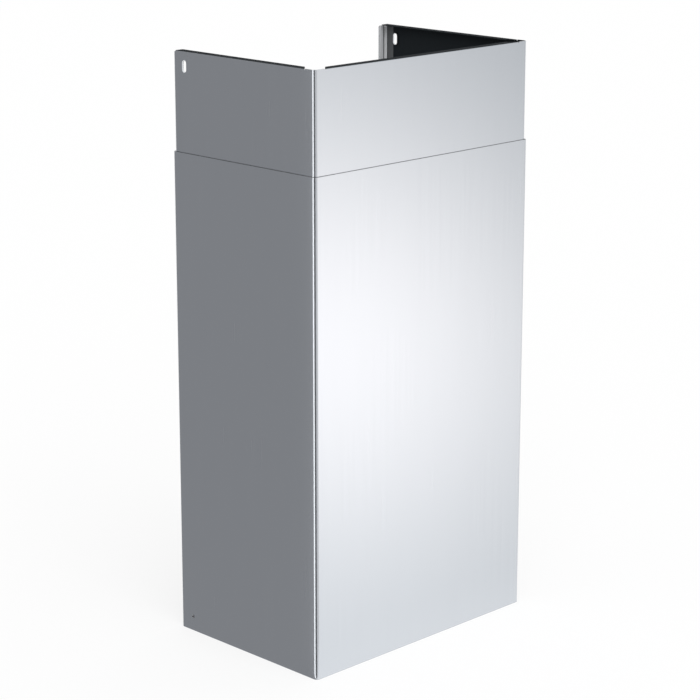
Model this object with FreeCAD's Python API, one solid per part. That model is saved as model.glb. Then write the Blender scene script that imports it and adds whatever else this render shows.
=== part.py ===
"""Cooker hood chimney section: two channels folded from stainless sheet, one sliding in the other.

Frame: +Z up, the front faces -Y, the open back faces the wall at +Y.
The origin is the middle of the lower channel's footprint, on the hood that it stands on.
All sizes are in millimetres.
"""
import FreeCAD
import Part

import math
import os

# Sheet and press tools
SHEET = 0.8
BEND_RADIUS = 3.5
HEM_RADIUS = 0.25
LIP_BEND_RADIUS = 0.4

# Lower channel, outside sizes
LOWER_WIDTH = 330.0
LOWER_DEPTH = 222.0
LOWER_HEIGHT = 550.0
LOWER_RETURN = 24.0

# Upper channel, which slides in the lower one
RUNNING_CLEARANCE = 0.7
UPPER_LENGTH = 520.0
UPPER_EXPOSED = 110.0
UPPER_RETURN = 12.0
HEM_LENGTH = 6.5

# Lips folded inwards along the upper channel's top edge, with mitred ends at the front corners
LIP_DEPTH = 10.5
CORNER_TAB = 14.0
LIP_SLIT = 1.0
REAR_DROP = 1.6
RETURN_CORNER_RADIUS = 3.0

# Fixings, set back from the rear face of their own channel
SLOT_SETBACK = 18.0
SLOT_WIDTH = 6.0
SLOT_LENGTH = 13.0
SLOT_DROP = 16.3
COLLAR_RISE = 1.6
COLLAR_WALL = 0.5
HOLE_SETBACK = 20.5
HOLE_DIAMETER = 4.0
HOLE_RISE = 17.0

# Extra length of a cutting tool past the face that it starts from
OVERCUT = 1.0

# Sizes that follow from those above
NESTING_STEP = SHEET + RUNNING_CLEARANCE
UPPER_WIDTH = LOWER_WIDTH - 2 * NESTING_STEP
UPPER_DEPTH = LOWER_DEPTH - 2 * NESTING_STEP
UPPER_TOP = LOWER_HEIGHT + UPPER_EXPOSED
BEND_OUTSIDE = BEND_RADIUS + SHEET
HEM_OUTSIDE = HEM_RADIUS + SHEET
LIP_BEND_OUTSIDE = LIP_BEND_RADIUS + SHEET

V = FreeCAD.Vector


def towards(angle):
    """Unit vector in the XY plane, at an angle in degrees from +X."""
    return V(math.cos(math.radians(angle)), math.sin(math.radians(angle)), 0)


def folded_section(start, heading, steps):
    """Cross-section of a folded sheet, as a face in the XY plane.

    The sheet's mid line leaves start at a heading in degrees and takes the steps in order:
    ("flat", length) runs straight and ("bend", angle, inner radius) turns, left if positive.
    Each skin lies half a sheet to one side of the mid line.
    """
    half = SHEET / 2
    here = V(start[0], start[1], 0)
    left_skin = []
    right_skin = []
    for kind, *size in steps:
        if kind == "flat":
            side = towards(heading + 90) * half
            there = here + towards(heading) * size[0]
            left_skin.append(Part.LineSegment(here + side, there + side))
            right_skin.append(Part.LineSegment(here - side, there - side))
        else:
            angle, inner_radius = size
            turn = math.copysign(1, angle)
            mid_radius = inner_radius + half
            centre = here + towards(heading + 90 * turn) * mid_radius
            spokes = [towards(heading - 90 * turn + angle * share) for share in (0, 0.5, 1)]
            left_skin.append(Part.Arc(*[centre + s * (mid_radius - turn * half) for s in spokes]))
            right_skin.append(Part.Arc(*[centre + s * (mid_radius + turn * half) for s in spokes]))
            there = centre + spokes[-1] * mid_radius
            heading += angle
        here = there
    first_edge = Part.LineSegment(left_skin[0].StartPoint, right_skin[0].StartPoint)
    last_edge = Part.LineSegment(right_skin[-1].EndPoint, left_skin[-1].EndPoint)
    outline = [first_edge] + right_skin + [last_edge] + left_skin[::-1]
    return Part.Face(Part.Wire([curve.toShape() for curve in outline]))


def channel(width, depth, rear_return, hem, bottom, height):
    """Folded channel, open at the back, with a return along each rear edge.

    A hem length above zero folds the free edge of each return flat on its front side.
    """
    return_flat = rear_return - BEND_OUTSIDE
    rear_line = depth / 2 - SHEET / 2
    if hem > 0:
        fold = HEM_RADIUS + SHEET / 2
        edge = [
            ("flat", hem - HEM_OUTSIDE),
            ("bend", 180, HEM_RADIUS),
            ("flat", return_flat - HEM_OUTSIDE),
        ]
        start = (-width / 2 + rear_return - hem, rear_line - 2 * fold)
        heading = 0
    else:
        edge = [("flat", return_flat)]
        start = (-width / 2 + rear_return, rear_line)
        heading = 180
    corner = ("bend", 90, BEND_RADIUS)
    side = ("flat", depth - 2 * BEND_OUTSIDE)
    front = ("flat", width - 2 * BEND_OUTSIDE)
    walls = [corner, side, corner, front, corner, side, corner]
    section = folded_section(start, heading, edge + walls + edge[::-1])
    section.translate(V(0, 0, bottom))
    return section.extrude(V(0, 0, height))


def block(x_span, y_span, z_span):
    """Box between pairs of coordinates."""
    lows, highs = zip(x_span, y_span, z_span)
    return Part.makeBox(*[high - low for low, high in zip(lows, highs)], V(*lows))


def both_sides(left_shape):
    """A shape on the left side and its mirror image on the right side."""
    return [left_shape, left_shape.mirror(V(0, 0, 0), V(1, 0, 0))]


def lip_section():
    """Section of a lip: X runs inwards from the wall's outer face, Y is the height."""
    bend = ("bend", -90, LIP_BEND_RADIUS)
    flat = ("flat", LIP_DEPTH - LIP_BEND_OUTSIDE)
    return folded_section((SHEET / 2, UPPER_TOP - LIP_BEND_OUTSIDE), 90, [bend, flat])


def mitred_lip(run, mitred_ends):
    """Lip along a straight wall: X runs inwards from the outer face, Y along the wall, Z up.

    Y is zero in the middle of the run. A mitred end slopes back by 45 degrees from the outer face.
    """
    section = lip_section()
    section.Placement = FreeCAD.Placement(V(0, run / 2, 0), FreeCAD.Rotation(V(1, 0, 0), 90))
    lip = section.extrude(V(0, -run, 0))
    below, above = UPPER_TOP - LIP_BEND_OUTSIDE, UPPER_TOP
    for end in mitred_ends:
        tip = end * run / 2
        triangle = [V(0, tip, below), V(LIP_DEPTH, tip, below), V(LIP_DEPTH, tip - end * LIP_DEPTH, below)]
        wedge = Part.Face(Part.makePolygon(triangle + triangle[:1])).extrude(V(0, 0, above - below))
        lip = lip.cut(wedge)
    return lip


def front_lip():
    """Lip along the front edge, between the two corner tabs."""
    lip = mitred_lip(UPPER_WIDTH - 2 * (CORNER_TAB + LIP_SLIT), (-1, 1))
    lip.Placement = FreeCAD.Placement(V(0, -UPPER_DEPTH / 2, 0), FreeCAD.Rotation(V(0, 0, 1), 90))
    return lip


def left_lip():
    """Lip along the left edge, from the front corner tab to the rear bend."""
    front_end = -UPPER_DEPTH / 2 + CORNER_TAB + LIP_SLIT
    rear_end = UPPER_DEPTH / 2 - BEND_OUTSIDE
    lip = mitred_lip(rear_end - front_end, (-1,))
    lip.translate(V(-UPPER_WIDTH / 2, (rear_end + front_end) / 2, 0))
    return lip


def lip_clearances():
    """Tools that lower the walls under the lips, and the rear bends and returns behind them."""
    left, front, rear = -UPPER_WIDTH / 2, -UPPER_DEPTH / 2, UPPER_DEPTH / 2
    above = UPPER_TOP + OVERCUT
    fold_line = UPPER_TOP - LIP_BEND_OUTSIDE
    front_wall = block(
        (left + CORNER_TAB, -left - CORNER_TAB), (front - OVERCUT, front + SHEET), (fold_line, above)
    )
    side_wall = block(
        (left - OVERCUT, left + SHEET),
        (front + CORNER_TAB, rear - BEND_OUTSIDE),
        (fold_line, above),
    )
    rear_corner = block(
        (left - OVERCUT, left + UPPER_RETURN + OVERCUT),
        (rear - BEND_OUTSIDE, rear + OVERCUT),
        (UPPER_TOP - REAR_DROP, above),
    )
    return [front_wall] + both_sides(side_wall.fuse(rear_corner))


def return_corner_rounds():
    """Tools that round the upper inner corner of each rear return."""
    free_edge = -UPPER_WIDTH / 2 + UPPER_RETURN
    top = UPPER_TOP - REAR_DROP
    front_of_hem = UPPER_DEPTH / 2 - 2 * HEM_OUTSIDE - OVERCUT
    thickness = 2 * HEM_OUTSIDE + 2 * OVERCUT
    corner = block(
        (free_edge - RETURN_CORNER_RADIUS, free_edge + OVERCUT),
        (front_of_hem, front_of_hem + thickness),
        (top - RETURN_CORNER_RADIUS, top + OVERCUT),
    )
    round_axis = V(free_edge - RETURN_CORNER_RADIUS, front_of_hem, top - RETURN_CORNER_RADIUS)
    round_bar = Part.makeCylinder(RETURN_CORNER_RADIUS, thickness, round_axis, V(0, 1, 0))
    return both_sides(corner.cut(round_bar))


def slot_bar(radius, start_x, reach):
    """Upright bar with round ends through the left slot's place, from start_x along X."""
    half_rise = (SLOT_LENGTH - SLOT_WIDTH) / 2
    middle = UPPER_TOP - SLOT_DROP
    slot_line = UPPER_DEPTH / 2 - SLOT_SETBACK
    ends = [
        Part.makeCylinder(radius, reach, V(start_x, slot_line, middle + rise), V(1, 0, 0))
        for rise in (-half_rise, half_rise)
    ]
    straight = block(
        (start_x, start_x + reach),
        (slot_line - radius, slot_line + radius),
        (middle - half_rise, middle + half_rise),
    )
    return straight.fuse(ends)


def fixing_slots():
    """Upright slots near the top of the upper channel, for the screws into the ceiling bracket."""
    reach = SHEET + COLLAR_RISE + 2 * OVERCUT
    return both_sides(slot_bar(SLOT_WIDTH / 2, -UPPER_WIDTH / 2 - OVERCUT, reach))


def slot_collars():
    """Collars that the slots' edges are drawn into, on the inner faces."""
    radius = SLOT_WIDTH / 2 + COLLAR_WALL
    return both_sides(slot_bar(radius, -UPPER_WIDTH / 2 + SHEET / 2, SHEET / 2 + COLLAR_RISE))


def lower_section():
    """Outer channel with plain edges and one screw hole low on each side."""
    sheet = channel(LOWER_WIDTH, LOWER_DEPTH, LOWER_RETURN, 0, 0, LOWER_HEIGHT)
    start = V(-LOWER_WIDTH / 2 - OVERCUT, LOWER_DEPTH / 2 - HOLE_SETBACK, HOLE_RISE)
    holes = Part.makeCylinder(HOLE_DIAMETER / 2, LOWER_WIDTH + 2 * OVERCUT, start, V(1, 0, 0))
    return sheet.cut(holes)


def upper_section():
    """Inner channel with hemmed returns, lips along its top edge and one drawn slot on each side."""
    bottom = UPPER_TOP - UPPER_LENGTH
    sheet = channel(UPPER_WIDTH, UPPER_DEPTH, UPPER_RETURN, HEM_LENGTH, bottom, UPPER_LENGTH)
    sheet = sheet.cut(lip_clearances() + return_corner_rounds())
    sheet = sheet.fuse([front_lip()] + both_sides(left_lip()) + slot_collars())
    return sheet.cut(fixing_slots()).removeSplitter()


def main():
    """Writes one solid for each folded sheet."""
    os.makedirs("parts", exist_ok=True)
    sheets = {"lower_section": lower_section(), "upper_section": upper_section()}
    for name, shape in sheets.items():
        if not shape.isValid() or len(shape.Solids) != 1:
            raise ValueError(f"{name} is not one valid solid")
        shape.Solids[0].exportStep(f"parts/{name}.step")


main()
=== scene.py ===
"""Cooker hood chimney section: two folded stainless channels in a white studio."""
import math
from typing import NamedTuple

import bpy
import numpy as np
from bpy.props import FloatProperty, FloatVectorProperty, PointerProperty
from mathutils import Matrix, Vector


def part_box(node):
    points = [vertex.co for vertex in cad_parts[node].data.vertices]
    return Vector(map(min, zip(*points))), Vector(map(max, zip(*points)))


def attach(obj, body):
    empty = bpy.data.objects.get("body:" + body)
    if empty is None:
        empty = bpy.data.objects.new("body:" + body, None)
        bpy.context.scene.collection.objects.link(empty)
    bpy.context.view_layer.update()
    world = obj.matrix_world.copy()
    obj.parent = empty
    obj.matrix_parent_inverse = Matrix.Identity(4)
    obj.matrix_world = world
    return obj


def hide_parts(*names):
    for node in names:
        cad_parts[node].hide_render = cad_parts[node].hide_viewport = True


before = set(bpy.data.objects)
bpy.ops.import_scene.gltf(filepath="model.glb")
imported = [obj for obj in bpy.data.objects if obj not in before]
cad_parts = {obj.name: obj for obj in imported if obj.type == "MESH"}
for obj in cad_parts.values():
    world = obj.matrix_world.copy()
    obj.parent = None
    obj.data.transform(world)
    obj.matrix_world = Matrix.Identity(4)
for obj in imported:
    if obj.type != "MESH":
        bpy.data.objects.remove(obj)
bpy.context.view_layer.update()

bl_info = {
    "name": "Cooker hood chimney section",
    "version": (1, 0, 0),
    "blender": (4, 5, 0),
    "location": "View3D > Sidebar > Chimney",
    "description": "Folds the two channels of a telescopic chimney cover and lights them",
    "category": "Object",
}

MM = 0.001

LOWER_LOW, LOWER_HIGH = (np.array(corner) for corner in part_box("lower_section"))
UPPER_LOW, UPPER_HIGH = (np.array(corner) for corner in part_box("upper_section"))
LOWER_SIZE = LOWER_HIGH - LOWER_LOW
UPPER_SIZE = UPPER_HIGH - UPPER_LOW

# How finely the folded sheets are divided: parts of each fold, of a frame's side and of a return's
# round, shares of the way from a hole's edge to its frame, the longest part of a flat, and how
# near to a fold a flat has its first line
BEND_PARTS = 16
HEM_PARTS = 14
LIP_PARTS = 8
COLLAR_PARTS = 6
FRAME_PARTS = 12
ROUND_PARTS = 14
RING_SHARES = np.array([0.0, 0.12, 0.4, 1.0])
FLAT_STEP = 30 * MM
SUPPORT = 0.6 * MM

# Points closer than this are joined, and the places of lines are rounded to so many decimals
WELD = 0.01 * MM
DECIMALS = 8

# Edges that turn by more than this stay crisp
CRISP_ANGLE = math.radians(40)

# Half width and half height of the patch of wall that a hole or a slot is cut in
HOLE_FRAME = (6 * MM, 6 * MM)
SLOT_FRAME = (4.2 * MM, 8.2 * MM)

# Shares of a fold at which the finish changes: where the bare face of a hem ends, and where the
# part of a rear bend that is left out of the painted dark grey half shade begins and ends
HEM_FACE_END = 0.3
UNSPRAYED_BEND = (0.22, 0.85)

# The studio: the floor's reach, the share of its own glow, the light on matt faces, the soft sun
# and the width of the camera's frame in mm
FLOOR_REACH = 40.0
FLOOR_GLOW = 0.75
SOFT_LEVEL = 0.75
SUN_LEVEL = 1.27
SUN_SPREAD = math.radians(60)
SUN_TURN = (math.radians(45), 0, math.radians(-25))
FRAME_WIDTH = 36.0

# The cards' feet and tops, and the places of the two wide ones from the lower channel's faces
CARD_FOOT, CARD_TOP = 0.3 * MM, 1.15
GREY_GAP, GREY_SETBACK, GREY_PAST_REAR = 60 * MM, 37 * MM, 500 * MM
SCREEN_GAP, SCREEN_INSET, SCREEN_PAST_RIGHT = 80 * MM, 35 * MM, 350 * MM

# Ends in plan of the two narrow cards, from the corner where the left and front faces would meet
DARK_ENDS = np.array([(-8.6, -13.6), (-16.6, -0.7)]) * MM
BRIGHT_ENDS = np.array([(-16.9, 1.2), (-15.9, 11.6)]) * MM

# Zones of a sheet, which decide its finish
# The second zone has its inner face painted dark grey as half shade, by the hems and rear bends
WALL, SPRAYED, LIP, RETURN, HEM, COLLAR = range(6)

# Material slots of a sheet
# The second slot is painted near-black shade, the third painted dark grey half shade
OUTSIDE, INSIDE, HALF_SPRAYED, BARE, EDGE = range(5)


def linear(code):
    """Linear RGB of an sRGB hex colour, by the two-part sRGB curve."""
    channels = np.array([int(code[i:i + 2], 16) for i in (1, 3, 5)]) / 255
    curved = ((channels + 0.055) / 1.055) ** 2.4
    return tuple(np.where(channels <= 0.04045, channels / 12.92, curved))


WHITE = (*linear("#FFFFFF"), 1)


def length(label, words, metres):
    """A length property that a user can change."""
    return FloatProperty(
        name=label, description=words, default=metres, min=0.0, unit="LENGTH", precision=5
    )


def colour(label, words, code):
    """A colour property, given as an sRGB hex value."""
    return FloatVectorProperty(
        name=label, description=words, default=linear(code),
        size=3, min=0.0, max=1.0, subtype="COLOR",
    )


class ChimneyTools(bpy.types.PropertyGroup):
    """Sheet thickness and the radii of the press tools that fold both channels."""

    sheet: length("Sheet", "Thickness of the steel sheet", 0.8 * MM)
    bend: length("Bend", "Inner radius of the upright bends", 3.5 * MM)
    hem: length("Hem", "Inner radius of the hem's fold", 0.25 * MM)
    lip_bend: length("Lip bend", "Inner radius of the fold under the top lips", 0.4 * MM)


class ChimneyLower(bpy.types.PropertyGroup):
    """The outer channel."""

    width: length("Width", "Outside width", LOWER_SIZE[0])
    depth: length("Depth", "Outside depth", LOWER_SIZE[1])
    bottom: length("Bottom", "Height of the bottom edge", LOWER_LOW[2])
    top: length("Top", "Height of the top edge", LOWER_HIGH[2])
    rear_return: length("Return", "Width of the returns along the rear edges", 24 * MM)
    hole: length("Hole", "Diameter of the screw hole on each side", 4 * MM)
    hole_rise: length("Hole rise", "Height of the screw holes over the bottom edge", 17 * MM)
    hole_setback: length("Hole setback", "From the rear face to the screw holes", 20.5 * MM)


class ChimneyUpper(bpy.types.PropertyGroup):
    """The inner channel."""

    width: length("Width", "Outside width", UPPER_SIZE[0])
    depth: length("Depth", "Outside depth", UPPER_SIZE[1])
    bottom: length("Bottom", "Height of the bottom edge", UPPER_LOW[2])
    top: length("Top", "Height of the lips' upper face", UPPER_HIGH[2])
    rear_return: length("Return", "Width of the returns along the rear edges", 12 * MM)
    hem_length: length("Hem", "Width of the hem on each return", 6.5 * MM)
    return_round: length("Return round", "Corner radius at the top of each return", 3 * MM)
    lip_depth: length("Lip", "Width of the lips, from the outer face", 10.5 * MM)
    tab: length("Corner tab", "Width of the unfolded corner beside each lip", 14 * MM)
    slit: length("Slit", "Gap between a lip and the corner tab", 1 * MM)
    rear_drop: length("Rear drop", "How far the rear corners stop under the top", 1.6 * MM)
    slot_width: length("Slot width", "Width of the upright screw slots", 6 * MM)
    slot_length: length("Slot length", "Length of the upright screw slots", 13 * MM)
    slot_drop: length("Slot drop", "From the top to the middle of the slots", 16.3 * MM)
    slot_setback: length("Slot setback", "From the rear face to the slots", 18 * MM)
    collar_rise: length("Collar", "How far a slot's collar stands off the inner face", 1.6 * MM)
    collar_wall: length("Collar wall", "Thickness at the free end of a collar", 0.5 * MM)
    collar_bend: length("Collar bend", "Radius at which a slot's edge is drawn in", 0.45 * MM)


class ChimneyFinish(bpy.types.PropertyGroup):
    """Colours of the finishes, of the painted shade and of the cut edges."""

    steel: colour("Steel", "Brushed stainless steel", "#BBBEC3")
    steel_streak: colour("Steel streak", "The darker streaks of the brushing", "#B7BABF")
    # Painted shade on the inner faces and painted dark reflection on the lips' tops, both near
    # black
    inside: colour("Inside", "Matt black lacquer of the inner faces", "#23272A")
    # Painted half shade: dark grey inside from each hem's fold into the rear bend, and on to the
    # slots
    thin: colour("Thin lacquer", "Thin edge of the lacquer along the rear bends", "#626466")
    bare: colour("Bare", "Bare pickled steel of the hems, rear bends and collars", "#ECEEF1")
    edge: colour("Edge", "Sheared edge of the sheet", "#B0B0B1")


class ChimneyStudio(bpy.types.PropertyGroup):
    """The camera, the floor and the cards that the steel reflects."""

    lens: FloatProperty(
        name="Lens", description="Focal length in mm on a 36 mm frame", default=117.207
    )
    azimuth: FloatProperty(
        name="Azimuth", description="How far the view turns right of the back wall's direction",
        default=math.radians(44.8598), subtype="ANGLE",
    )
    elevation: FloatProperty(
        name="Elevation", description="How far the camera looks down",
        default=math.radians(14.5016), subtype="ANGLE",
    )
    eye: FloatVectorProperty(
        name="Camera", description="Place of the camera", default=(-1.75083, -1.75257, 0.98502),
        size=3, subtype="XYZ", unit="LENGTH",
    )
    shift: FloatVectorProperty(
        name="Shift",
        description="How far the lens is shifted across and up, as shares of the picture's width",
        default=(0.00255, -0.03433), size=2,
    )
    floor: colour("Floor", "White paper floor", "#FAFAFA")
    grey_card: colour("Grey card", "Card that the left side reflects", "#ABACAE")
    dark_card: colour("Dark card", "Narrow card that the front bend reflects", "#606163")
    screen: colour("Screen", "White screen that the front reflects", "#FBFEFF")
    lamp: colour("Lamp", "Warm lamp behind the screen", "#FFF4ED")
    bright_level: FloatProperty(
        name="Bright card", description="Glow of the narrow card beside the dark one",
        default=2.3, min=0.0,
    )


class Stretch(NamedTuple):
    """A flat or a bend of a folded strip.

    It holds where it begins along the strip, its developed length, its first point, its heading
    and its radius, which is zero on a flat.
    """

    begin: float
    run: float
    point: np.ndarray
    heading: float
    radius: float

    @property
    def end(self):
        """Where it ends along the strip."""
        return self.begin + self.run


class Collar(NamedTuple):
    """A collar round a slot: its bend, its free end's thickness and its depth from mid sheet."""

    bend: float
    wall: float
    depth: float


def walk(steps, start):
    """Follows a folded strip's mid line through its steps and returns the stretches that it passes.

    A step is ("flat", length) or ("bend", angle, mid radius), and every bend turns left.
    """
    stretches = []
    begin = 0.0
    point = np.array(start[:2])
    heading = start[2]
    for kind, *size in steps:
        ahead = np.array([math.cos(heading), math.sin(heading)])
        left = np.array([-ahead[1], ahead[0]])
        if kind == "flat":
            stretch = Stretch(begin, size[0], point, heading, 0.0)
            point = point + ahead * stretch.run
        else:
            angle, radius = size
            stretch = Stretch(begin, angle * radius, point, heading, radius)
            point = point + radius * (math.sin(angle) * ahead + (1 - math.cos(angle)) * left)
            heading += angle
        stretches.append(stretch)
        begin = stretch.end
    return stretches


def on_midline(stretches, s):
    """Plan position and outward normal at developed lengths s.

    On a flat the point runs straight on from the stretch's first point. On a bend of radius r it
    has turned by (s - begin) / r about a centre on its left. The normal points to the right.
    """
    plan = np.zeros((len(s), 2))
    outward = np.zeros((len(s), 2))
    for begin, run, point, heading, radius in stretches:
        here = (s >= begin - WELD) & (s <= begin + run + WELD)
        along = s[here] - begin
        ahead = np.array([math.cos(heading), math.sin(heading)])
        right = np.array([ahead[1], -ahead[0]])
        if radius == 0.0:
            plan[here] = point + along[:, None] * ahead
            outward[here] = right
        else:
            turned = heading + along / radius
            normal = np.stack([np.sin(turned), -np.cos(turned)], 1)
            plan[here] = point + radius * (normal - right)
            outward[here] = normal
    return plan, outward


def lines_through(breaks, step):
    """Sorted lines through all the breaks, with the spans between them cut into even parts."""
    breaks = np.unique(np.round(np.asarray(breaks), DECIMALS))
    slack = 1e-6  # so that a span of whole steps isn't cut once more
    spans = [
        np.linspace(low, high, max(1, math.ceil((high - low) / step - slack)) + 1)
        for low, high in zip(breaks[:-1], breaks[1:])
    ]
    return np.unique(np.round(np.concatenate(spans), DECIMALS))


def middles(lines):
    """Middles of the spans between lines."""
    return (lines[1:] + lines[:-1]) / 2


def stretch_lines(stretches):
    """Breaks along a strip: even parts round a bend, and a line just inside each end of a flat."""
    breaks = []
    for begin, run, _, _, radius in stretches:
        if radius > 0.0:
            parts = HEM_PARTS if radius < SUPPORT * 2 else BEND_PARTS
            breaks.append(np.linspace(begin, begin + run, parts + 1))
        else:
            breaks.append(np.array([begin, begin + SUPPORT, begin + run - SUPPORT, begin + run]))
    return np.concatenate(breaks)


class Blank:
    """The patches of one sheet: points, normals, flat-pattern places, quads, zones, thickness."""

    def __init__(self, sheet):
        self.sheet = sheet
        self.thickness = []
        self.points = []
        self.normals = []
        self.flats = []
        self.quads = []
        self.zones = []
        self.count = 0

    def add_grid(self, points, normals, flats, zones, keep=None, round_rows=False, thickness=None):
        """Adds a grid of points, as quads that turn from the first index towards the second.

        keep says which cells there are. round_rows joins the last row to the first, as on a ring.
        thickness is the whole sheet's, or one for each column.
        """
        rows, columns = points.shape[:2]
        index = np.arange(rows * columns).reshape(rows, columns) + self.count
        if round_rows:
            index = np.concatenate([index, index[:1]])
        cells = np.stack([index[:-1, :-1], index[1:, :-1], index[1:, 1:], index[:-1, 1:]], -1)
        zones = np.broadcast_to(zones, cells.shape[:2])
        if keep is None:
            keep = np.ones(cells.shape[:2], bool)
        thickness = self.sheet if thickness is None else thickness
        self.thickness.append(np.broadcast_to(thickness, (rows, columns)).reshape(-1))
        self.points.append(points.reshape(-1, 3))
        self.normals.append(normals.reshape(-1, 3))
        self.flats.append(flats.reshape(-1, 2))
        self.quads.append(cells[keep])
        self.zones.append(zones[keep])
        self.count += rows * columns

    def welded(self):
        """All patches as one sheet, with points that coincide joined and unused ones left out."""
        points = np.concatenate(self.points)
        quads = np.concatenate(self.quads)
        off_grid = 0.317  # so that even sizes don't fall half-way between two cells
        cells = np.round(points / WELD + off_grid).astype(np.int64)
        _, first, joined = np.unique(cells, axis=0, return_index=True, return_inverse=True)
        quads = joined.reshape(-1)[quads]
        used, quads = np.unique(quads, return_inverse=True)
        pick = first[used]
        return (
            points[pick],
            np.concatenate(self.normals)[pick],
            np.concatenate(self.flats)[pick],
            quads.reshape(-1, 4),
            np.concatenate(self.zones),
            np.concatenate(self.thickness)[pick],
        )


def upright(plan, outward, heights):
    """Points and normals of walls that stand on plan points, with a row of heights for each."""
    rows, columns = heights.shape
    points = np.concatenate([np.repeat(plan[:, None], columns, 1), heights[..., None]], -1)
    normals = np.zeros((rows, columns, 3))
    normals[..., :2] = outward[:, None]
    return points, normals


def frame_offsets(half):
    """Offsets of the lines that cross a hole's frame, from its centre."""
    return np.linspace(-half, half, FRAME_PARTS + 1)


def outside_frames(s, z, centres, half_frame):
    """Which of the cells between the lines s and z lie outside the frames of all the holes."""
    middle_s, middle_z = middles(s), middles(z)
    keep = np.ones((len(middle_s), len(middle_z)), bool)
    for centre_s, centre_z in centres:
        across = np.abs(middle_s - centre_s) < half_frame[0]
        up = np.abs(middle_z - centre_z) < half_frame[1]
        keep &= ~(across[:, None] & up[None])
    return keep


def frame_spokes(half_frame, half_straight):
    """Points q round a hole's frame, their middles c and their spokes.

    c is the point of the hole's straight middle line that is nearest to q, and the spoke is
    (q - c) / |q - c|. All are measured from the hole's centre.
    """
    across = frame_offsets(half_frame[0])
    up = frame_offsets(half_frame[1])
    sides = [
        np.stack([across[:-1], np.full(FRAME_PARTS, up[0])], 1),
        np.stack([np.full(FRAME_PARTS, across[-1]), up[:-1]], 1),
        np.stack([across[:0:-1], np.full(FRAME_PARTS, up[-1])], 1),
        np.stack([np.full(FRAME_PARTS, across[0]), up[:0:-1]], 1),
    ]
    outer = np.concatenate(sides)
    on_line = np.clip(outer[:, 1], -half_straight, half_straight)
    middle = np.stack([np.zeros(len(outer)), on_line], 1)
    spoke = outer - middle
    return outer, middle, spoke / np.linalg.norm(spoke, axis=1)[:, None]


def on_wall(stretches, flats):
    """Plan positions and outward normals at a grid of places on the flat pattern."""
    plan, outward = on_midline(stretches, flats[..., 0].reshape(-1))
    shape = (*flats.shape[:-1], 2)
    return plan.reshape(shape), outward.reshape(shape)


def add_hole(blank, stretches, centre, half_frame, radius, half_straight, collar=None):
    """Adds the ring of wall between a hole and its frame, and the collar round it, if it has one.

    A point q on the frame pairs with c + r times its spoke on the ring's inner edge. Round a collar
    r is larger than the hole's radius, by half the sheet and the collar's bend.
    """
    outer, middle, spoke = frame_spokes(half_frame, half_straight)
    edge_radius = radius if collar is None else radius + blank.sheet / 2 + collar.bend
    inner = middle + edge_radius * spoke
    ring = inner[:, None] + RING_SHARES[None, ::-1, None] * (outer - inner)[:, None]
    flats = ring + np.asarray(centre)
    plan, outward = on_wall(stretches, flats)
    points = np.concatenate([plan, flats[..., 1:]], -1)
    normals = np.concatenate([outward, np.zeros_like(flats[..., 1:])], -1)
    blank.add_grid(points, normals, flats, WALL, round_rows=True)
    if collar is not None:
        add_collar(blank, stretches, centre, (middle, spoke), radius, collar)


def add_collar(blank, stretches, centre, spokes, radius, collar):
    """Adds the collar that is drawn inwards from the ring round a slot.

    Where it has turned by a it has come b (1 - sin a) near the slot's wall and gone b (1 - cos a)
    inwards, for a bend of radius b, while its sheet thins evenly with sin a. Past the bend it runs
    straight on inwards. Half-way round the bend its bare part begins.
    """
    middle, spoke = spokes
    turned = np.append(np.linspace(0, math.pi / 2, COLLAR_PARTS + 1), [math.pi / 2] * 2)
    lean, slope = np.sin(turned), np.cos(turned)
    thickness = blank.sheet + (collar.wall - blank.sheet) * lean
    near = radius + thickness / 2 + collar.bend * (1 - lean)
    inwards = collar.bend * (1 - slope)
    inwards[-2:] = [collar.bend + SUPPORT / 4, collar.depth]
    flats = middle[:, None] + near[None, :, None] * spoke[:, None] + np.asarray(centre)
    plan, outward = on_wall(stretches, flats)
    ahead = np.stack([-outward[..., 1], outward[..., 0]], -1)
    points = np.concatenate([plan - inwards[None, :, None] * outward, flats[..., 1:]], -1)
    lean, slope = lean[None, :, None], slope[None, :, None]
    in_plan = outward * slope - ahead * spoke[:, None, :1] * lean
    normals = np.concatenate([in_plan, -spoke[:, None, 1:] * lean], -1)
    zones = np.where(np.arange(len(turned) - 1) < COLLAR_PARTS // 2, WALL, COLLAR)
    blank.add_grid(points, normals, flats, zones, round_rows=True, thickness=thickness)


def add_lip(blank, base, outward, s, fold, lip, mitres):
    """Adds a lip folded inwards from its wall's fold line.

    At a distance u past the fold line the lip has turned by a = u / r, at most a right angle. It
    has then gone r (1 - cos a) inwards and r sin a up, and past the bend it runs on inwards. At a
    mitred end it stops as far short of the wall's end as it has gone inwards. Half-way round the
    bend its part painted near black as dark reflection begins.
    """
    radius, reach = lip
    quarter = radius * math.pi / 2
    past_bend = quarter + np.array([SUPPORT, reach])
    u = np.concatenate([np.linspace(0, quarter, LIP_PARTS + 1), past_bend])
    turned = np.minimum(u / radius, math.pi / 2)
    inwards = radius * (1 - np.cos(turned)) + np.maximum(u - quarter, 0)
    ahead = (base[-1] - base[0]) / np.linalg.norm(base[-1] - base[0])
    plan = np.repeat(base[:, None], len(u), 1) - inwards[None, :, None] * outward
    plan[0] += mitres[0] * inwards[:, None] * ahead
    plan[-1] -= mitres[1] * inwards[:, None] * ahead
    heights = np.broadcast_to(fold + radius * np.sin(turned), plan.shape[:2])
    points = np.concatenate([plan, heights[..., None]], -1)
    normals = np.zeros_like(points)
    normals[..., :2] = np.cos(turned)[None, :, None] * outward
    normals[..., 2] = np.sin(turned)
    flats = np.stack(np.broadcast_arrays(s[:, None], fold + u[None]), -1)
    zones = np.where(np.arange(len(u) - 1) < LIP_PARTS // 2, WALL, LIP)
    blank.add_grid(points, normals, flats, zones)


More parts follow.
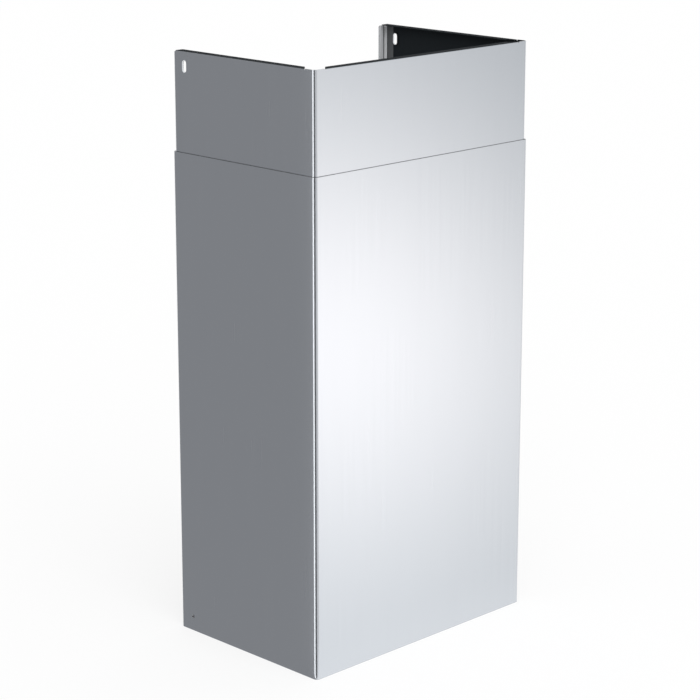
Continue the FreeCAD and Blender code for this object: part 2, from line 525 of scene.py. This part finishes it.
def both_skins(points, normals, flats, quads, zones, thickness):
    """Gives a mid surface its thickness: an outer skin, an inner skin and a rim at free edges.

    The skins lie half the thickness away, along the normal and against it. An edge that only one
    quad has is free, and its rim is the quad between the two skins.
    """
    count = len(points)
    half = normals * thickness[:, None] / 2
    corners = np.concatenate([points + half, points - half])
    edges = np.stack([quads, np.roll(quads, -1, 1)], -1).reshape(-1, 2)
    _, which, times = np.unique(np.sort(edges, 1), axis=0, return_inverse=True, return_counts=True)
    free = times[which.reshape(-1)] == 1
    a, b = edges[free].T
    rim = np.stack([b, a, a + count, b + count], 1)
    faces = np.concatenate([quads, quads[:, ::-1] + count, rim])
    bare = np.isin(zones, (HEM, COLLAR))
    # The lips' tops take the near-black painted reflection, the inner faces the near-black painted
    # shade
    outer_slot = np.select([zones == LIP, bare], [INSIDE, BARE], OUTSIDE)
    unsprayed = np.isin(zones, (HEM, RETURN))
    # The strips by the hems and the rear bends take the dark grey painted half shade on their inner
    # face
    inner_slot = np.select([unsprayed, zones == SPRAYED], [BARE, HALF_SPRAYED], INSIDE)
    rim_slot = np.where(np.repeat(zones, 4)[free] == LIP, INSIDE, EDGE)
    slots = np.concatenate([outer_slot, inner_slot, rim_slot])
    return corners, faces, np.concatenate([flats, flats]), slots


def sheet_object(name, blank, materials):
    """Makes the object of a folded sheet, with its flat pattern as UV map and crisp cut edges."""
    corners, faces, flats, slots = both_skins(*blank.welded())
    mesh = bpy.data.meshes.new(name)
    mesh.from_pydata(corners, [], faces)
    pattern = mesh.uv_layers.new(name="flat_pattern")
    pattern.data.foreach_set("uv", flats[faces.reshape(-1)].astype(np.float32).reshape(-1))
    mesh.polygons.foreach_set("material_index", slots.astype(np.int32))
    mesh.polygons.foreach_set("use_smooth", np.ones(len(faces), bool))
    for material in materials:
        mesh.materials.append(material)
    mesh.set_sharp_from_angle(angle=CRISP_ANGLE)
    mesh.update()
    if mesh.validate():
        raise RuntimeError(f"{name} has bad faces")
    piece = bpy.data.objects.new(name, mesh)
    bpy.context.scene.collection.objects.link(piece)
    return piece


def channel_stretches(tools, channel, hem_length):
    """The stretches of a channel's plan, from the left return's free edge to the right one's.

    The strip starts with the hem, if it has one, runs along the left return, round the left rear
    bend, forward along the left side, across the front and back the same way on the right. Also
    returns how many stretches come before the left rear bend.
    """
    half = tools.sheet / 2
    outside = tools.bend + tools.sheet
    rear_line = channel.depth / 2 - half
    return_flat = channel.rear_return - outside
    if hem_length > 0:
        hem_outside = tools.hem + tools.sheet
        hem_middle = tools.hem + half
        edge = [
            ("flat", hem_length - hem_outside),
            ("bend", math.pi, hem_middle),
            ("flat", return_flat - hem_outside),
        ]
        start_x = -channel.width / 2 + channel.rear_return - hem_length
        start = (start_x, rear_line - 2 * hem_middle, 0.0)
    else:
        edge = [("flat", return_flat)]
        start = (-channel.width / 2 + channel.rear_return, rear_line, math.pi)
    corner = ("bend", math.pi / 2, tools.bend + half)
    side = ("flat", channel.depth - 2 * outside)
    front = ("flat", channel.width - 2 * outside)
    walls = [corner, side, corner, front, corner, side, corner]
    return walk(edge + walls + edge[::-1], start), len(edge)


def add(tree, kind, inputs=None, **settings):
    """Adds a node with its settings, and fills its inputs with values or other nodes' outputs."""
    made = tree.nodes.new(kind)
    for name, value in settings.items():
        setattr(made, name, value)
    for name, value in (inputs or {}).items():
        if isinstance(value, bpy.types.NodeSocket):
            tree.links.new(value, made.inputs[name])
        else:
            made.inputs[name].default_value = value
    return made


def new_material(name):
    """An empty node material and its tree."""
    material = bpy.data.materials.new(name)
    material.use_nodes = True
    material.node_tree.nodes.clear()
    return material, material.node_tree


def brushed_stainless(finish):
    """Stainless sheet brushed with a fine belt, upright, then left satin.

    The eye sees a soft, broad reflection with faint upright streaks. A belt's scratches are about
    0.2 mm apart, too fine to show, so the streaks are drawn 2.5 mm apart and 150 mm long.
    """
    streak_gap, streak_length = 2.5 * MM, 150 * MM
    material, tree = new_material("stainless_steel_brushed")
    place = add(tree, "ShaderNodeTexCoord").outputs["Object"]
    stretched = add(
        tree, "ShaderNodeMapping",
        {"Vector": place, "Scale": (1 / streak_gap, 1 / streak_gap, 1 / streak_length)},
    )
    streaks = add(
        tree, "ShaderNodeTexNoise",
        {"Vector": stretched.outputs["Vector"], "Scale": 1.0, "Detail": 3.0, "Roughness": 0.6},
    )
    tone = add(
        tree, "ShaderNodeMix",
        {"Factor": streaks.outputs["Fac"], "A": (*finish.steel_streak, 1), "B": (*finish.steel, 1)},
        data_type="RGBA",
    )
    satin = add(
        tree, "ShaderNodeMapRange",
        {"Value": streaks.outputs["Fac"], "To Min": 0.262, "To Max": 0.278},
    )
    surface = add(
        tree, "ShaderNodeBsdfPrincipled",
        {
            "Base Color": tone.outputs["Result"], "Metallic": 1.0,
            "Roughness": satin.outputs["Result"],
        },
    )
    add(tree, "ShaderNodeOutputMaterial", {"Surface": surface.outputs["BSDF"]})
    return material


def lacquer(name, shade, gloss):
    """Matt coat of painted shade on the inner faces, with a faint orange-peel mottle.

    The eye sees almost no reflection. The mottle is drawn 4 mm across so that it shows close by.
    """
    mottle_size, mottle_dark = 4 * MM, 0.85
    material, tree = new_material(name)
    place = add(tree, "ShaderNodeTexCoord").outputs["Object"]
    mottle = add(
        tree, "ShaderNodeTexNoise", {"Vector": place, "Scale": 1 / mottle_size, "Detail": 2.0}
    )
    dark = tuple(mottle_dark * channel for channel in shade)
    tone = add(
        tree, "ShaderNodeMix",
        {"Factor": mottle.outputs["Fac"], "A": (*dark, 1), "B": (*shade, 1)},
        data_type="RGBA",
    )
    surface = add(
        tree, "ShaderNodeBsdfPrincipled",
        {"Base Color": tone.outputs["Result"], "Roughness": 0.75, "Specular IOR Level": gloss},
    )
    add(tree, "ShaderNodeOutputMaterial", {"Surface": surface.outputs["BSDF"]})
    return material


def black_lacquer(finish):
    """Painted shade inside and painted dark reflection on the lips: nearly black, with no shine."""
    return lacquer("black_lacquer_sprayed", finish.inside, 0.03)


def thin_lacquer(finish):
    """Painted half shade by the hems and along the rear bends: dark grey to the eye."""
    return lacquer("black_lacquer_overspray", finish.thin, 0.15)


def pickled_steel(finish):
    """Bare stainless sheet, pickled in acid and left dull, with a faint cloudiness 6 mm across.

    The eye sees a pale grey that takes light from all sides, much softer than the brushed face.
    """
    cloud_size = 6 * MM
    material, tree = new_material("stainless_steel_pickled")
    place = add(tree, "ShaderNodeTexCoord").outputs["Object"]
    cloud = add(
        tree, "ShaderNodeTexNoise", {"Vector": place, "Scale": 1 / cloud_size, "Detail": 2.0}
    )
    dull = add(
        tree, "ShaderNodeMapRange", {"Value": cloud.outputs["Fac"], "To Min": 0.5, "To Max": 0.65}
    )
    surface = add(
        tree, "ShaderNodeBsdfPrincipled",
        {"Base Color": (*finish.bare, 1), "Roughness": dull.outputs["Result"]},
    )
    add(tree, "ShaderNodeOutputMaterial", {"Surface": surface.outputs["BSDF"]})
    return material


def sheared_edge(finish):
    """Edge of the sheet as the shear left it: bare steel, half burnished and half torn.

    The eye sees a thin, slightly grainy bright line. The tear's grain is drawn 0.5 mm across.
    """
    grain_size = 0.5 * MM
    material, tree = new_material("stainless_steel_sheared")
    place = add(tree, "ShaderNodeTexCoord").outputs["Object"]
    grain = add(tree, "ShaderNodeTexNoise", {"Vector": place, "Scale": 1 / grain_size})
    tear = add(
        tree, "ShaderNodeMapRange", {"Value": grain.outputs["Fac"], "To Min": 0.35, "To Max": 0.6}
    )
    surface = add(
        tree, "ShaderNodeBsdfPrincipled",
        {"Base Color": (*finish.edge, 1), "Metallic": 1.0, "Roughness": tear.outputs["Result"]},
    )
    add(tree, "ShaderNodeOutputMaterial", {"Surface": surface.outputs["BSDF"]})
    return material


def finishes(scene):
    """The finishes and painted shades of a sheet, in the order of its material slots, made once."""
    makers = {
        "stainless_steel_brushed": brushed_stainless,
        "black_lacquer_sprayed": black_lacquer,
        "black_lacquer_overspray": thin_lacquer,
        "stainless_steel_pickled": pickled_steel,
        "stainless_steel_sheared": sheared_edge,
    }
    return [
        bpy.data.materials.get(name) or make(scene.chimney_finish) for name, make in makers.items()
    ]


class ChimneyLowerSection(bpy.types.Operator):
    """Folds the outer channel, with plain edges and a screw hole low on each side"""

    bl_idname = "chimney.lower_section"
    bl_label = "Lower section"

    def execute(self, context):
        tools, lower = context.scene.chimney_tools, context.scene.chimney_lower
        stretches, edge_steps = channel_stretches(tools, lower, 0)
        strip = stretches[-1].end
        bends_end = stretches[edge_steps].end
        hole_s = bends_end + lower.hole_setback - tools.bend - tools.sheet
        hole_z = lower.bottom + lower.hole_rise
        centres = [(hole_s, hole_z), (strip - hole_s, hole_z)]

        frame_s = [centre[0] + frame_offsets(HOLE_FRAME[0]) for centre in centres]
        frame_z = hole_z + frame_offsets(HOLE_FRAME[1])
        s = lines_through(np.concatenate([stretch_lines(stretches), *frame_s]), FLAT_STEP)
        z = lines_through(np.concatenate([[lower.bottom, lower.top], frame_z]), FLAT_STEP)
        plan, outward = on_midline(stretches, s)
        heights = np.repeat(z[None], len(s), 0)
        points, normals = upright(plan, outward, heights)
        flats = np.stack(np.broadcast_arrays(s[:, None], heights), -1)
        from_edge = np.minimum(middles(s), strip - middles(s))
        zones = np.where(from_edge < bends_end, RETURN, WALL)[:, None]
        keep = outside_frames(s, z, centres, HOLE_FRAME)
        blank = Blank(tools.sheet)
        blank.add_grid(points, normals, flats, zones, keep)
        for centre in centres:
            add_hole(blank, stretches, centre, HOLE_FRAME, lower.hole / 2, 0)

        piece = sheet_object("lower_sheet", blank, finishes(context.scene))
        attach(piece, "lower")
        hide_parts("lower_section")
        return {"FINISHED"}


def return_drop(upper, plan):
    """How far the top of a return comes down, in a quarter round at its free edge.

    At a distance d from the free edge it is r - sqrt(r^2 - (r - d)^2), and beyond r it is zero.
    """
    radius = upper.return_round
    from_free = np.abs(plan[:, 0]) - (upper.width / 2 - upper.rear_return)
    short = np.clip(radius - from_free, 0, radius)
    return radius - np.sqrt(radius ** 2 - short ** 2)


def upper_zones(from_edge, hem_fold, rear_bend, spray_end):
    """Zones of the inner channel, by the distance from the nearer free edge of its strip.

    The hem's face is bare. From its fold to the slots the inner face is painted dark grey as half
    shade, apart from a part of the rear bend that is left bare.
    """
    hem_face_end = hem_fold.begin + HEM_FACE_END * hem_fold.run
    bare_begin, bare_end = (rear_bend.begin + share * rear_bend.run for share in UNSPRAYED_BEND)
    ends = [hem_face_end, hem_fold.end, bare_begin, bare_end, spray_end]
    zones = np.array([HEM, RETURN, SPRAYED, RETURN, SPRAYED, WALL])
    return zones[np.searchsorted(ends, from_edge)]


class ChimneyUpperSection(bpy.types.Operator):
    """Folds the inner channel, with hemmed returns, lips along the top and a slot on each side"""

    bl_idname = "chimney.upper_section"
    bl_label = "Upper section"

    def execute(self, context):
        tools, upper = context.scene.chimney_tools, context.scene.chimney_upper
        sheet, outside = tools.sheet, tools.bend + tools.sheet
        stretches, edge_steps = channel_stretches(tools, upper, upper.hem_length)
        strip = stretches[-1].end
        hem_fold = stretches[1]
        rear_bend, side, front_bend = stretches[edge_steps:edge_steps + 3]
        returns_end = rear_bend.begin
        bends_end = side.begin
        tab_begin = front_bend.begin - (upper.tab - outside)
        tab_end = front_bend.end + (upper.tab - outside)
        lip = (tools.lip_bend + sheet / 2, upper.lip_depth - tools.lip_bend - sheet)
        fold = upper.top - tools.lip_bend - sheet
        return_top = upper.top - upper.rear_drop
        round_begin = return_top - upper.return_round
        slot_s = bends_end + upper.slot_setback - outside
        slot_z = upper.top - upper.slot_drop
        centres = [(slot_s, slot_z), (strip - slot_s, slot_z)]

        # Lines along the strip and up it, which pass all the places where the shape changes
        half_breaks = np.concatenate([
            [tab_begin - upper.slit, tab_begin, tab_end, tab_end + upper.slit],
            *[np.linspace(flat.begin + SUPPORT, flat.end - SUPPORT, ROUND_PARTS + 1)
              for flat in stretches[:edge_steps] if flat.radius == 0.0],
        ])
        frame_s = [centre[0] + frame_offsets(SLOT_FRAME[0]) for centre in centres]
        breaks_s = [stretch_lines(stretches), half_breaks, strip - half_breaks, *frame_s]
        breaks_z = [upper.bottom, round_begin, return_top, fold, upper.top]
        s = lines_through(np.concatenate(breaks_s), FLAT_STEP)
        z = lines_through(
            np.concatenate([breaks_z, slot_z + frame_offsets(SLOT_FRAME[1])]), FLAT_STEP
        )
        plan, outward = on_midline(stretches, s)

        on_return = np.minimum(s, strip - s) < returns_end - WELD
        drop = np.where(on_return, return_drop(upper, plan), 0)
        share = np.clip((z - round_begin) / (return_top - round_begin), 0, 1)
        heights = np.repeat(z[None], len(s), 0) - drop[:, None] * share[None]
        points, normals = upright(plan, outward, heights)
        flats = np.stack(np.broadcast_arrays(s[:, None], heights), -1)

        from_edge = np.minimum(middles(s), strip - middles(s))
        top = np.select(
            [from_edge < bends_end, from_edge < tab_begin, from_edge < tab_end],
            [return_top, fold, upper.top],
            fold,
        )
        keep = outside_frames(s, z, centres, SLOT_FRAME) & (middles(z)[None] < top[:, None])
        zones = upper_zones(from_edge, hem_fold, rear_bend, slot_s - SLOT_FRAME[0])[:, None]
        blank = Blank(sheet)
        blank.add_grid(points, normals, flats, zones, keep)
        collar = Collar(upper.collar_bend, upper.collar_wall, sheet / 2 + upper.collar_rise)
        half_straight = (upper.slot_length - upper.slot_width) / 2
        for centre in centres:
            add_hole(
                blank, stretches, centre, SLOT_FRAME, upper.slot_width / 2, half_straight, collar
            )

        # Lips along the left side, the front and the right side, mitred at the front corners
        spans = [
            (bends_end, tab_begin - upper.slit, (0, 1)),
            (tab_end + upper.slit, strip - tab_end - upper.slit, (1, 1)),
            (strip - tab_begin + upper.slit, strip - bends_end, (1, 0)),
        ]
        for low, high, mitres in spans:
            run = s[(s > low - WELD) & (s < high + WELD)]
            base, facing = on_midline(stretches, run)
            add_lip(blank, base, facing[len(run) // 2], run, fold, lip, mitres)

        piece = sheet_object("upper_sheet", blank, finishes(context.scene))
        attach(piece, "upper")
        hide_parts("upper_section")
        return {"FINISHED"}


def flat_card(name, corners, material):
    """A flat card of the studio."""
    mesh = bpy.data.meshes.new(name)
    mesh.from_pydata(corners, [], [tuple(range(len(corners)))])
    mesh.materials.append(material)
    card = bpy.data.objects.new(name, mesh)
    bpy.context.scene.collection.objects.link(card)
    return card


def seen_directly(tree):
    """One for rays that show the surroundings: from the camera, in a mirror or through a glass."""
    rays = add(tree, "ShaderNodeLightPath").outputs
    seen = rays["Is Camera Ray"]
    for other in ("Is Glossy Ray", "Is Transmission Ray"):
        seen = add(
            tree, "ShaderNodeMath", {0: seen, 1: rays[other]}, operation="MAXIMUM"
        ).outputs["Value"]
    return seen


def white_paper(studio):
    """Matt white studio paper, lit through from below so that only a faint shadow stays on it."""
    material, tree = new_material("paper_white")
    paper = add(tree, "ShaderNodeBsdfDiffuse", {"Color": (*studio.floor, 1)}).outputs["BSDF"]
    glow = add(tree, "ShaderNodeEmission", {"Color": WHITE, "Strength": 1.0}).outputs["Emission"]
    share = add(
        tree, "ShaderNodeMath", {0: seen_directly(tree), 1: FLOOR_GLOW}, operation="MULTIPLY"
    ).outputs["Value"]
    surface = add(tree, "ShaderNodeMixShader", {0: share, 1: paper, 2: glow})
    add(tree, "ShaderNodeOutputMaterial", {"Surface": surface.outputs["Shader"]})
    return material


def card_material(name, shade, level=1.0):
    """Evenly lit card of one colour."""
    material, tree = new_material(name)
    glow = add(tree, "ShaderNodeEmission", {"Color": (*shade, 1), "Strength": level})
    add(tree, "ShaderNodeOutputMaterial", {"Surface": glow.outputs["Emission"]})
    return material


def screen_material(name, screen, lamp):
    """White screen, duller to the right and upwards, with a long warm lamp aslant behind it.

    With x and z from the bright place, in metres, the screen's level is its base less x and z times
    their falls. The lamp's level is its base times exp(-(u^2 + v^2) / 2), where u = x / width and
    v = (z + slant x) / height.
    """
    bright_place = (-0.0905, 0.0, 0.358)
    screen_base, fall_x, fall_z = 1.128, 0.374, 0.35
    lamp_base, width, height, slant = 0.921, 0.312, 0.197, 0.2
    weights = [(1 / width, 0, 0), (slant / height, 0, 1 / height), (-fall_x, 0, -fall_z)]
    material, tree = new_material(name)
    place = add(tree, "ShaderNodeTexCoord").outputs["Object"]
    offset = add(tree, "ShaderNodeVectorMath", {0: place, 1: bright_place}, operation="SUBTRACT")
    u, v, fall = (
        add(
            tree, "ShaderNodeVectorMath",
            {0: offset.outputs["Vector"], 1: weight}, operation="DOT_PRODUCT",
        ).outputs["Value"]
        for weight in weights
    )
    square = add(tree, "ShaderNodeMath", {0: u, 1: u}, operation="MULTIPLY").outputs[0]
    squares = add(
        tree, "ShaderNodeMath", {0: v, 1: v, 2: square}, operation="MULTIPLY_ADD"
    ).outputs[0]
    power = add(tree, "ShaderNodeMath", {0: squares, 1: -0.5}, operation="MULTIPLY").outputs[0]
    bell = add(tree, "ShaderNodeMath", {0: power}, operation="EXPONENT").outputs[0]
    lamp_level = add(tree, "ShaderNodeMath", {0: bell, 1: lamp_base}, operation="MULTIPLY")
    screen_level = add(tree, "ShaderNodeMath", {0: fall, 1: screen_base}, operation="ADD")
    glows = [
        add(tree, "ShaderNodeEmission", {"Color": (*shade, 1), "Strength": level.outputs[0]})
        for shade, level in [(screen, screen_level), (lamp, lamp_level)]
    ]
    both = add(
        tree, "ShaderNodeAddShader", {i: glow.outputs["Emission"] for i, glow in enumerate(glows)}
    )
    add(tree, "ShaderNodeOutputMaterial", {"Surface": both.outputs["Shader"]})
    return material


def reflected_card(name, corners, material):
    """A card which shows only in the steel's reflections."""
    card = flat_card(name, corners, material)
    card.visible_camera = False
    card.visible_diffuse = False
    card.visible_transmission = False
    card.visible_volume_scatter = False
    card.visible_shadow = False


def standing(first, last):
    """Corners of an upright card between two plan points."""
    return [(*first, CARD_FOOT), (*last, CARD_FOOT), (*last, CARD_TOP), (*first, CARD_TOP)]


def lying(low, high, height):
    """Corners of a level card between two opposite plan points."""
    plan = [low, (high[0], low[1]), high, (low[0], high[1])]
    return [(*corner, height) for corner in plan]


def white_world(scene):
    """White surroundings for the camera and reflections, and a plain soft light for the rest."""
    world = bpy.data.worlds.new("studio")
    scene.world = world
    world.use_nodes = True
    tree = world.node_tree
    tree.nodes.clear()
    level = add(
        tree, "ShaderNodeMapRange",
        {"Value": seen_directly(tree), "To Min": SOFT_LEVEL, "To Max": 1.0},
    )
    sky = add(
        tree, "ShaderNodeBackground", {"Color": WHITE, "Strength": level.outputs["Result"]}
    )
    add(tree, "ShaderNodeOutputWorld", {"Surface": sky.outputs["Background"]})


def soft_sun(scene):
    """One wide soft light from above and in front, a little from the left."""
    sun = bpy.data.lights.new("overhead", "SUN")
    sun.energy = SUN_LEVEL
    sun.angle = SUN_SPREAD
    holder = bpy.data.objects.new("overhead", sun)
    holder.rotation_euler = SUN_TURN
    scene.collection.objects.link(holder)


def steel_cards(studio):
    """Cards close to the steel, which fill its two faces and draw the lines in its front bend.

    Each stands upright and goes on over the floor as far as the steel.
    """
    left, front = LOWER_LOW[:2]
    right, rear = LOWER_HIGH[:2]
    grey = card_material("card_grey", studio.grey_card)
    dark = card_material("card_dark", studio.dark_card)
    bright = card_material("card_bright", WHITE[:3], studio.bright_level)
    screen = screen_material("screen_lit_from_behind", studio.screen, studio.lamp)

    grey_x, grey_rear = left - GREY_GAP, rear + GREY_PAST_REAR
    grey_ends = (grey_x, front + GREY_SETBACK), (grey_x, grey_rear)
    reflected_card("grey_card", standing(*grey_ends), grey)
    grey_floor = lying((grey_x, front), (left, grey_rear), CARD_FOOT)
    reflected_card("grey_floor", grey_floor, grey)

    screen_y, screen_right = front - SCREEN_GAP, right + SCREEN_PAST_RIGHT
    screen_ends = (screen_right, screen_y), (left + SCREEN_INSET, screen_y)
    reflected_card("screen", standing(*screen_ends), screen)
    screen_floor = lying((left, screen_y), (screen_right, front), CARD_FOOT)
    reflected_card("screen_floor", screen_floor, screen)

    corner = LOWER_LOW[:2]
    for name, ends, material in [("dark", DARK_ENDS, dark), ("bright", BRIGHT_ENDS, bright)]:
        first, last = corner + ends
        reflected_card(f"{name}_card", standing(first, last), material)
        on_floor = [(*place, 2 * CARD_FOOT) for place in (corner, last, first)]
        reflected_card(f"{name}_floor", on_floor, material)


def studio_camera(scene, studio):
    """The camera, which looks down on the front bend of the left side."""
    eye = bpy.data.cameras.new("camera")
    eye.lens = studio.lens
    eye.sensor_width = FRAME_WIDTH
    eye.shift_x, eye.shift_y = studio.shift
    holder = bpy.data.objects.new("camera", eye)
    holder.location = studio.eye
    holder.rotation_euler = (math.pi / 2 - studio.elevation, 0, -studio.azimuth)
    scene.collection.objects.link(holder)
    scene.camera = holder


class ChimneyStage(bpy.types.Operator):
    """Sets up the white floor, the soft light, the cards that the steel reflects, and the camera"""

    bl_idname = "chimney.stage"
    bl_label = "Stage"

    def execute(self, context):
        scene, studio = context.scene, context.scene.chimney_studio
        scene.view_settings.view_transform = "Standard"
        white_world(scene)
        floor = lying((-FLOOR_REACH, -FLOOR_REACH), (FLOOR_REACH, FLOOR_REACH), 0)
        flat_card("floor", floor, white_paper(studio))
        soft_sun(scene)
        steel_cards(studio)
        studio_camera(scene, studio)
        return {"FINISHED"}


class ChimneyPanel(bpy.types.Panel):
    """Lists the chimney's pieces and sizes"""

    bl_idname = "VIEW3D_PT_chimney"
    bl_label = "Chimney section"
    bl_space_type = "VIEW_3D"
    bl_region_type = "UI"
    bl_category = "Chimney"

    def draw(self, context):
        layout = self.layout
        for operator in OPERATORS:
            layout.operator(operator.bl_idname)
        for name, group in GROUPS.items():
            layout.label(text=group.__doc__)
            for size in group.__annotations__:
                layout.prop(getattr(context.scene, name), size)


GROUPS = {
    "chimney_tools": ChimneyTools,
    "chimney_lower": ChimneyLower,
    "chimney_upper": ChimneyUpper,
    "chimney_finish": ChimneyFinish,
    "chimney_studio": ChimneyStudio,
}
OPERATORS = (ChimneyLowerSection, ChimneyUpperSection, ChimneyStage)


def register():
    """Registers the classes and hangs the settings on the scene."""
    for name, group in GROUPS.items():
        bpy.utils.register_class(group)
        setattr(bpy.types.Scene, name, PointerProperty(type=group))
    for made in (*OPERATORS, ChimneyPanel):
        bpy.utils.register_class(made)


def unregister():
    """Takes back what register did."""
    for made in (ChimneyPanel, *OPERATORS):
        bpy.utils.unregister_class(made)
    for name, group in GROUPS.items():
        delattr(bpy.types.Scene, name)
        bpy.utils.unregister_class(group)


def main():
    """Builds the chimney section and its studio."""
    register()
    bpy.ops.chimney.lower_section()
    bpy.ops.chimney.upper_section()
    bpy.ops.chimney.stage()


if __name__ == "__main__":
    main()
